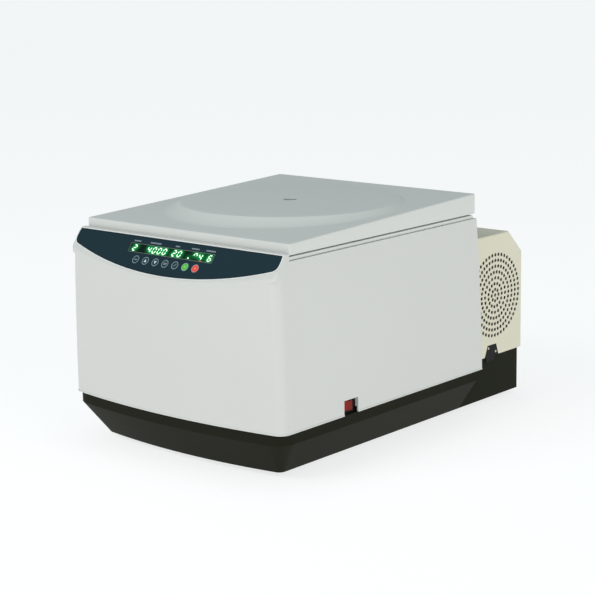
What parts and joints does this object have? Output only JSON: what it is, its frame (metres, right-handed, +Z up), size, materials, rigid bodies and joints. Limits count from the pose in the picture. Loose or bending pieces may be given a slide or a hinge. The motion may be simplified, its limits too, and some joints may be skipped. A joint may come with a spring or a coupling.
{
  "type": "refrigerated centrifuge",
  "caption": "Refrigerated bench centrifuge with a hinged lid over a cooled rotor chamber, a swing-out rotor and a slanted operating panel",
  "frame": {"origin": "centre of the outer box in X and Y, at the height of the surface it stands on", "axes": "+X to the operator's right, +Y to the rear, +Z up; the operating panel faces -Y"},
  "size_m": [0.502, 0.778, 0.42],
  "materials": {
    "rubber_black": "matt",
    "base_dark": "fine grain",
    "plastic_black": "satin",
    "steel_plain": "zinc plated",
    "casing_white": "satin",
    "panel_blue": "printed film",
    "window_dark": "tinted",
    "digits_green": "lit segments",
    "circuit_green": "soldered",
    "key_dark": "satin",
    "key_green": "satin",
    "key_red": "satin",
    "rocker_red": "glossy",
    "deck_grey": "satin",
    "steel_bright": "brushed",
    "foam_cream": "closed foam",
    "copper": "drawn copper tube",
    "aluminium_cast": "as machined",
    "aluminium_anodised": "anodised",
    "lid_grey_white": "satin",
    "lens_clear": "clear",
    "liner_white": "smooth",
    "housing_beige": "powder coated",
    "compressor_black": "gloss enamel"
  },
  "bodies": {
    "centrifuge": {"rubber_feet": "rubber_black", "base_tub": "base_dark", "mains_inlet": "plastic_black", "chassis_plate": "steel_plain", "casing": "casing_white", "panel_film": "panel_blue", "panel_bezel": "casing_white", "display_window": "window_dark", "digit_modules": "digits_green", "display_board": "circuit_green", "switch_frame": "plastic_black", "top_deck": "deck_grey", "chamber_bowl": "steel_bright", "chamber_gasket": "rubber_black", "chamber_insulation": "foam_cream", "evaporator_coil": "copper", "motor_plate": "steel_plain", "rubber_mounts": "rubber_black", "motor_housing": "aluminium_cast", "motor_bearings": "steel_bright", "shaft_boot": "rubber_black", "hinge_pins": "steel_bright", "hinge_brackets": "steel_plain", "friction_cartridges": "plastic_black", "lock_frame": "steel_plain", "lock_motor": "steel_bright", "rear_housing": "housing_beige", "housing_clamps": "plastic_black", "clamp_screws": "steel_bright", "compressor": "compressor_black", "condenser": "aluminium_cast", "filter_drier": "copper", "copper_pipes": "copper", "fan_shroud": "plastic_black", "fan_motor": "steel_plain", "control_board": "circuit_green", "motor_drive": "aluminium_cast"},
    "lid": {"lid_cover": "lid_grey_white", "viewport_window": "lens_clear", "lid_liner": "liner_white", "lid_insulation": "foam_cream", "lid_striker": "steel_bright", "hinge_arms": "steel_plain"},
    "bolt": {"lock_bolt": "steel_bright"},
    "rotor": {"motor_shaft": "steel_bright", "rotor_head": "aluminium_cast", "rotor_nut": "steel_bright"},
    "bucket_rear": {"bucket_1": "aluminium_anodised"},
    "bucket_left": {"bucket_2": "aluminium_anodised"},
    "bucket_front": {"bucket_3": "aluminium_anodised"},
    "bucket_right": {"bucket_4": "aluminium_anodised"},
    "fan": {"fan_blades": "plastic_black"},
    "rocker": {"power_rocker": "rocker_red"},
    "menu_button": {"menu_key": "key_dark"},
    "up_button": {"up_key": "key_dark"},
    "down_button": {"down_key": "key_dark"},
    "select_button": {"select_key": "key_dark"},
    "confirm_button": {"confirm_key": "key_dark"},
    "start_button": {"start_key": "key_green"},
    "stop_button": {"stop_key": "key_red"}
  },
  "joints": [
    {"name": "lid_hinge", "type": "hinge", "parent": "centrifuge", "child": "lid", "pos_m": [0, 0.188, 0.3845], "axis": [-1, 0, 0], "range_deg": [0, 75]},
    {"name": "lid_lock", "type": "slide", "parent": "centrifuge", "child": "bolt", "axis": [0, 1, 0], "range_m": [0, 0.011]},
    {"name": "rotor_spin", "type": "hinge", "parent": "centrifuge", "child": "rotor", "pos_m": [0, -0.052, 0.28], "axis": [0, 0, 1], "continuous": true},
    {"name": "bucket_rear_swing", "type": "hinge", "parent": "rotor", "child": "bucket_rear", "pos_m": [0, 0.04, 0.28], "axis": [1, 0, 0], "range_deg": [0, 90]},
    {"name": "bucket_left_swing", "type": "hinge", "parent": "rotor", "child": "bucket_left", "pos_m": [-0.092, -0.052, 0.28], "axis": [0, 1, 0], "range_deg": [0, 90]},
    {"name": "bucket_front_swing", "type": "hinge", "parent": "rotor", "child": "bucket_front", "pos_m": [0, -0.144, 0.28], "axis": [-1, 0, 0], "range_deg": [0, 90]},
    {"name": "bucket_right_swing", "type": "hinge", "parent": "rotor", "child": "bucket_right", "pos_m": [0.092, -0.052, 0.28], "axis": [0, -1, 0], "range_deg": [0, 90]},
    {"name": "fan_spin", "type": "hinge", "parent": "centrifuge", "child": "fan", "pos_m": [0.19, 0.2988, 0.2083], "axis": [1, 0, 0], "continuous": true},
    {"name": "power_toggle", "type": "hinge", "parent": "centrifuge", "child": "rocker", "pos_m": [0.238, -0.1933, 0.103], "axis": [0, 0, 1], "range_deg": [0, 16]},
    {"name": "menu_key_press", "type": "slide", "parent": "centrifuge", "child": "menu_button", "axis": [0, 0.7927, -0.6096], "range_m": [0, 0.0008], "stiffness_N_per_m": 1500},
    {"name": "up_key_press", "type": "slide", "parent": "centrifuge", "child": "up_button", "axis": [0, 0.7927, -0.6096], "range_m": [0, 0.0008], "stiffness_N_per_m": 1500},
    {"name": "down_key_press", "type": "slide", "parent": "centrifuge", "child": "down_button", "axis": [0, 0.7927, -0.6096], "range_m": [0, 0.0008], "stiffness_N_per_m": 1500},
    {"name": "select_key_press", "type": "slide", "parent": "centrifuge", "child": "select_button", "axis": [0, 0.7927, -0.6096], "range_m": [0, 0.0008], "stiffness_N_per_m": 1500},
    {"name": "confirm_key_press", "type": "slide", "parent": "centrifuge", "child": "confirm_button", "axis": [0, 0.7927, -0.6096], "range_m": [0, 0.0008], "stiffness_N_per_m": 1500},
    {"name": "start_key_press", "type": "slide", "parent": "centrifuge", "child": "start_button", "axis": [0, 0.7927, -0.6096], "range_m": [0, 0.0008], "stiffness_N_per_m": 1500},
    {"name": "stop_key_press", "type": "slide", "parent": "centrifuge", "child": "stop_button", "axis": [0, 0.7927, -0.6096], "range_m": [0, 0.0008], "stiffness_N_per_m": 1500}
  ]
}
